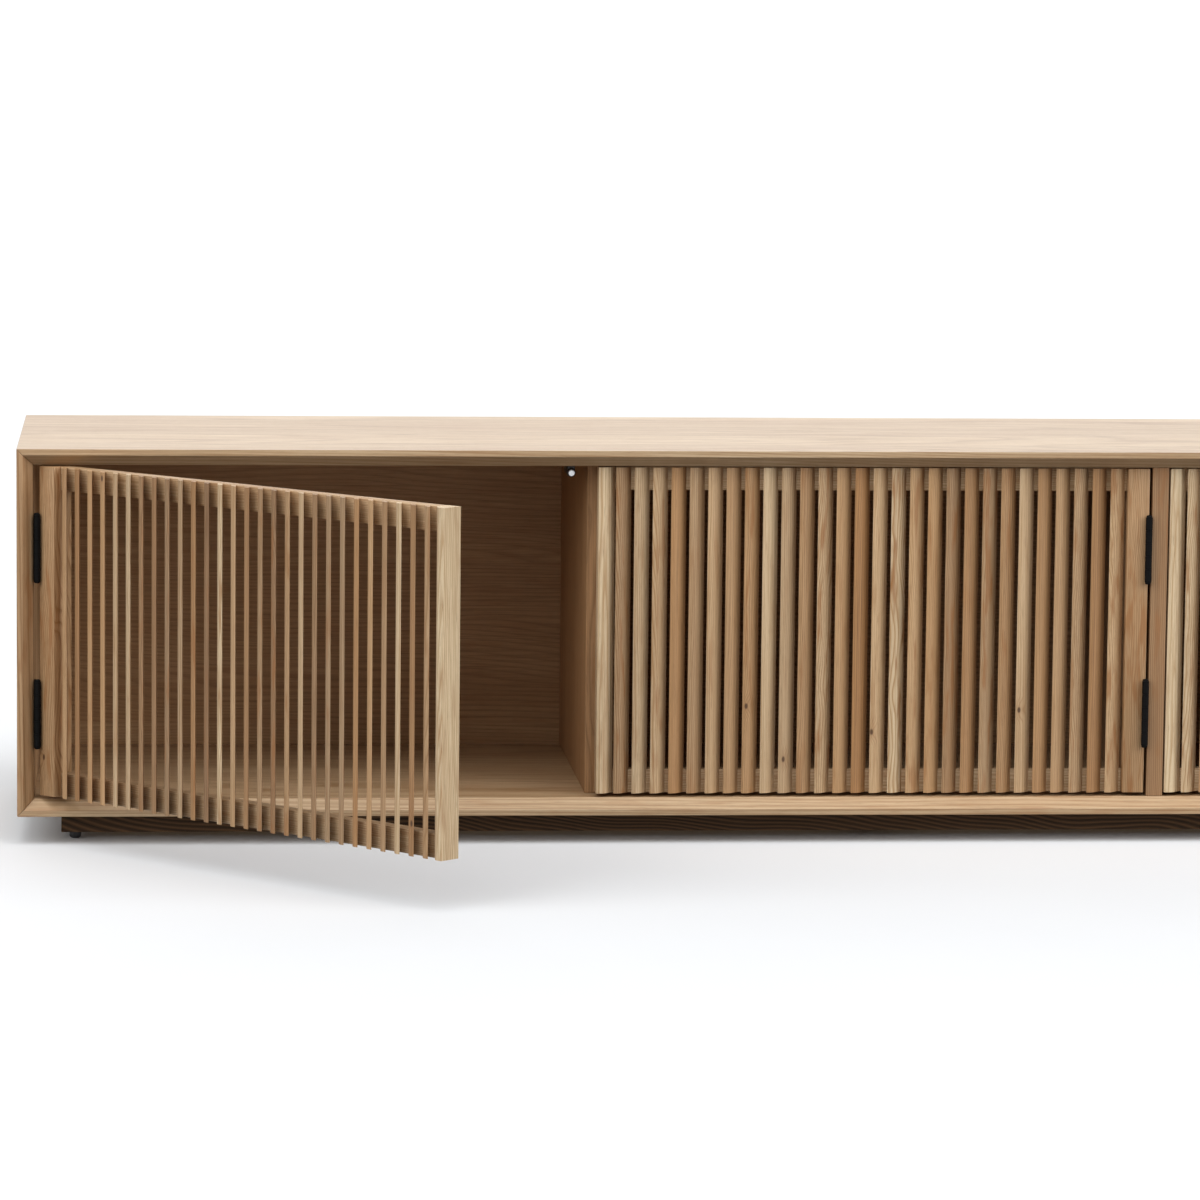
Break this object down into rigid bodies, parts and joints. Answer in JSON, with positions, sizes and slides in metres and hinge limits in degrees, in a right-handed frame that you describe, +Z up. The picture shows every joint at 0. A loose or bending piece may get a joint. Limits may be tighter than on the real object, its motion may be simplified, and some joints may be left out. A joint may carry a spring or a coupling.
{
  "type": "media cabinet",
  "caption": "Low oak media cabinet: bays behind hinged doors of leaning vertical slats, a mitred bevelled carcass and a recessed dark plinth on small glides.",
  "frame": {"origin": "on the floor under the middle of the carcass, at the sole of the centre foot", "axes": "+X to the cabinet's right as seen from the front, the doors face -Y, +Z up"},
  "size_m": [2, 0.9294, 0.46],
  "materials": {
    "oak": "matte oiled natural oak",
    "slat_oak": "matte oiled natural oak in mixed tones",
    "dark_wood": "matte dark stain over open grain",
    "black_steel": "satin black",
    "black_plastic": "moulded matte black",
    "bright_steel": "plain bright steel"
  },
  "bodies": {
    "carcass": {"top_panel": "oak", "bottom_panel": "oak", "left_side_panel": "oak", "right_side_panel": "oak", "left_partition": "oak", "right_partition": "oak", "back_panel": "oak", "plinth_front_rail": "dark_wood", "plinth_back_rail": "dark_wood", "plinth_left_rail": "dark_wood", "plinth_cross_rail": "dark_wood", "plinth_right_rail": "dark_wood", "front_left_foot": "black_plastic", "front_right_foot": "black_plastic", "back_left_foot": "black_plastic", "back_right_foot": "black_plastic", "centre_foot": "black_plastic", "left_door_upper_hinge_frame_leaf": "black_steel", "left_door_upper_hinge_pin": "black_steel", "left_door_lower_hinge_frame_leaf": "black_steel", "left_door_lower_hinge_pin": "black_steel", "left_door_latch_housing": "black_plastic", "middle_door_upper_hinge_frame_leaf": "black_steel", "middle_door_upper_hinge_pin": "black_steel", "middle_door_lower_hinge_frame_leaf": "black_steel", "middle_door_lower_hinge_pin": "black_steel", "middle_door_latch_housing": "black_plastic", "right_door_upper_hinge_frame_leaf": "black_steel", "right_door_upper_hinge_pin": "black_steel", "right_door_lower_hinge_frame_leaf": "black_steel", "right_door_lower_hinge_pin": "black_steel", "right_door_latch_housing": "black_plastic"},
    "left_door": {"left_door_hinge_stile": "oak", "left_door_leading_stile": "oak", "left_door_slat_grille": "slat_oak", "left_door_strike_plate": "bright_steel", "left_door_upper_hinge_door_leaf": "black_steel", "left_door_lower_hinge_door_leaf": "black_steel"},
    "middle_door": {"middle_door_hinge_stile": "oak", "middle_door_leading_stile": "oak", "middle_door_slat_grille": "slat_oak", "middle_door_strike_plate": "bright_steel", "middle_door_upper_hinge_door_leaf": "black_steel", "middle_door_lower_hinge_door_leaf": "black_steel"},
    "right_door": {"right_door_hinge_stile": "oak", "right_door_leading_stile": "oak", "right_door_slat_grille": "slat_oak", "right_door_strike_plate": "bright_steel", "right_door_upper_hinge_door_leaf": "black_steel", "right_door_lower_hinge_door_leaf": "black_steel"},
    "left_plunger": {"left_door_latch_plunger": "bright_steel"},
    "middle_plunger": {"middle_door_latch_plunger": "bright_steel"},
    "right_plunger": {"right_door_latch_plunger": "bright_steel"}
  },
  "joints": [
    {"name": "left_door_hinge", "type": "hinge", "parent": "carcass", "child": "left_door", "pos_m": [-0.9768, -0.2245, 0.2485], "axis": [0, 0, -1], "range_deg": [-47.1, 102.9]},
    {"name": "middle_door_hinge", "type": "hinge", "parent": "carcass", "child": "middle_door", "pos_m": [0.31647, -0.2245, 0.2485], "axis": [0, 0, 1], "range_deg": [0, 165]},
    {"name": "right_door_hinge", "type": "hinge", "parent": "carcass", "child": "right_door", "pos_m": [0.9768, -0.2245, 0.2485], "axis": [0, 0, 1], "range_deg": [0, 150]},
    {"name": "left_plunger_press", "type": "slide", "parent": "carcass", "child": "left_plunger", "axis": [0, 1, 0], "range_m": [0, 0.0035], "stiffness_N_per_m": 200},
    {"name": "middle_plunger_press", "type": "slide", "parent": "carcass", "child": "middle_plunger", "axis": [0, 1, 0], "range_m": [0, 0.0035], "stiffness_N_per_m": 200},
    {"name": "right_plunger_press", "type": "slide", "parent": "carcass", "child": "right_plunger", "axis": [0, 1, 0], "range_m": [0, 0.0035], "stiffness_N_per_m": 200}
  ]
}
